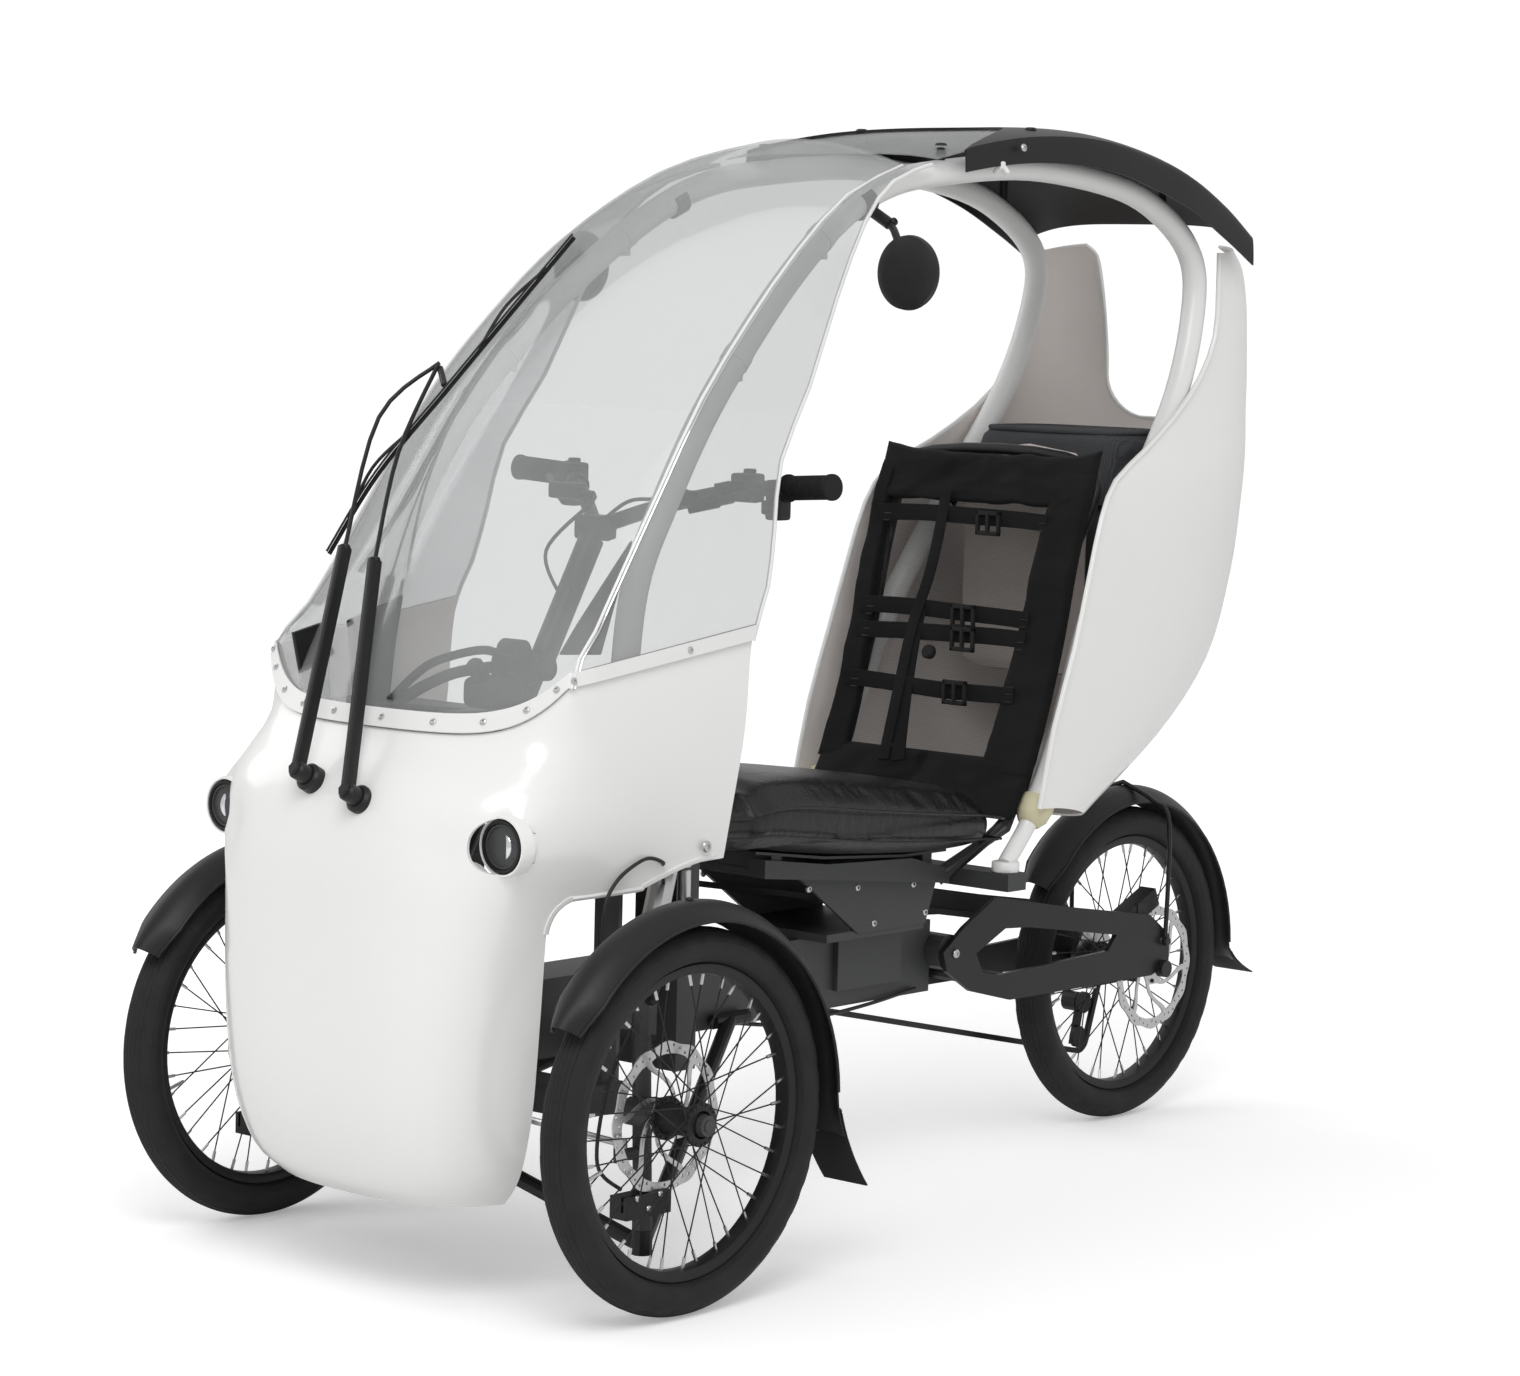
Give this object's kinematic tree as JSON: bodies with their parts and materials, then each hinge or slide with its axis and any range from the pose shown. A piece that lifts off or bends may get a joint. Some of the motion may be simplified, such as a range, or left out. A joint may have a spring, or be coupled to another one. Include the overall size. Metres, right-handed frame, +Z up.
{
  "type": "velomobile",
  "caption": "Three-wheeled velomobile with white nose and tail fairings, a clear wraparound windscreen, black roof, hoop frame, mesh seat and spoked wheels under black fenders",
  "frame": {"origin": "under the middle of the vehicle, on the floor", "axes": "front faces -Y, the vehicle's left side is +X, +Z is up"},
  "size_m": [0.8896, 2.141, 1.583],
  "materials": {
    "shell": "gloss white",
    "clear": "clear polycarbonate",
    "satin_black": "satin black",
    "black_metal": "satin black paint",
    "frame_grey": "dark grey powder coat",
    "rubber": "soft grip",
    "tyre": "road tread",
    "silver": "brushed",
    "fabric": "black webbing",
    "leather": "grained black"
  },
  "bodies": {
    "chassis": {"frame": "frame_grey", "column_stay": "black_metal", "nose_fairing": "shell", "windscreen": "clear", "hoop_left": "shell", "hoop_right": "shell", "roof_panel": "satin_black", "tail_fairing": "shell", "seat_cushion": "leather", "seat_back": "fabric", "seat_base": "frame_grey", "foot_bar": "frame_grey", "swingarm": "black_metal", "rear_caliper": "satin_black", "fender_rear": "satin_black", "chain": "black_metal", "derailleur": "satin_black", "headlight_left": "satin_black", "headlight_right": "satin_black", "mirror_left": "satin_black", "mirror_right": "satin_black", "lower_arm_left": "black_metal", "lower_arm_right": "black_metal", "strut_left": "silver", "strut_right": "silver", "wiper": "black_metal", "cargo_bag": "fabric"},
    "handlebar": {"steering_column": "black_metal", "handlebar": "black_metal", "grip_left": "rubber", "grip_right": "rubber", "brake_lever_left": "satin_black", "brake_lever_right": "satin_black"},
    "knuckle_left": {"knuckle_left": "frame_grey", "caliper_front_left": "satin_black", "fender_front_left": "satin_black"},
    "wheel_front_left": {"front_left_wheel": "satin_black", "front_left_tyre": "tyre", "front_left_rotor": "silver"},
    "tie_rod_left": {"tie_rod_left": "silver"},
    "knuckle_right": {"knuckle_right": "frame_grey", "caliper_front_right": "satin_black", "fender_front_right": "satin_black"},
    "wheel_front_right": {"front_right_wheel": "satin_black", "front_right_tyre": "tyre", "front_right_rotor": "silver"},
    "tie_rod_right": {"tie_rod_right": "silver"},
    "wheel_rear": {"rear_wheel": "satin_black", "rear_tyre": "tyre", "rear_rotor": "silver", "cassette": "silver"},
    "cranks": {"crankset": "silver"},
    "pedal_left": {"pedal_left": "satin_black"},
    "pedal_right": {"pedal_right": "satin_black"}
  },
  "joints": [
    {"name": "handlebar_turn", "type": "hinge", "parent": "chassis", "child": "handlebar", "pos_m": [0, -0.64449, 0.824], "axis": [0, 0.4951, 0.8689], "range_deg": [-12, 12]},
    {"name": "steer_left", "type": "hinge", "parent": "chassis", "child": "knuckle_left", "pos_m": [0.322, -0.77049, 0.112], "axis": [-0.0761, 0.0415, 0.9962], "range_deg": [-24, 24]},
    {"name": "spin_front_left", "type": "hinge", "parent": "knuckle_left", "child": "wheel_front_left", "pos_m": [0.4, -0.78049, 0.255], "axis": [1, 0, 0], "continuous": true},
    {"name": "tie_rod_left_swivel", "type": "hinge", "parent": "knuckle_left", "child": "tie_rod_left", "pos_m": [0.311, -0.80449, 0.2155], "axis": [-0.0761, 0.0415, 0.9962], "range_deg": [-24, 24]},
    {"name": "steer_right", "type": "hinge", "parent": "chassis", "child": "knuckle_right", "pos_m": [-0.322, -0.77049, 0.112], "axis": [0.0761, 0.0415, 0.9962], "range_deg": [-24, 24]},
    {"name": "spin_front_right", "type": "hinge", "parent": "knuckle_right", "child": "wheel_front_right", "pos_m": [-0.4, -0.78049, 0.255], "axis": [1, 0, 0], "continuous": true},
    {"name": "tie_rod_right_swivel", "type": "hinge", "parent": "knuckle_right", "child": "tie_rod_right", "pos_m": [-0.311, -0.80449, 0.2155], "axis": [0.0761, 0.0415, 0.9962], "range_deg": [-24, 24]},
    {"name": "spin_rear", "type": "hinge", "parent": "chassis", "child": "wheel_rear", "pos_m": [0, 0.71452, 0.255], "axis": [1, 0, 0], "continuous": true},
    {"name": "crank_spin", "type": "hinge", "parent": "chassis", "child": "cranks", "pos_m": [0, -0.73049, 0.48], "axis": [1, 0, 0], "continuous": true},
    {"name": "pedal_spin_left", "type": "hinge", "parent": "cranks", "child": "pedal_left", "pos_m": [0.092, -0.88049, 0.48], "axis": [1, 0, 0], "continuous": true},
    {"name": "pedal_spin_right", "type": "hinge", "parent": "cranks", "child": "pedal_right", "pos_m": [-0.092, -0.58049, 0.48], "axis": [1, 0, 0], "continuous": true}
  ],
  "couplings": [
    {"joint": "steer_left", "follows": "handlebar_turn", "ratio": 2},
    {"joint": "tie_rod_left_swivel", "follows": "handlebar_turn", "ratio": -2},
    {"joint": "steer_right", "follows": "handlebar_turn", "ratio": 2},
    {"joint": "tie_rod_right_swivel", "follows": "handlebar_turn", "ratio": -2}
  ]
}
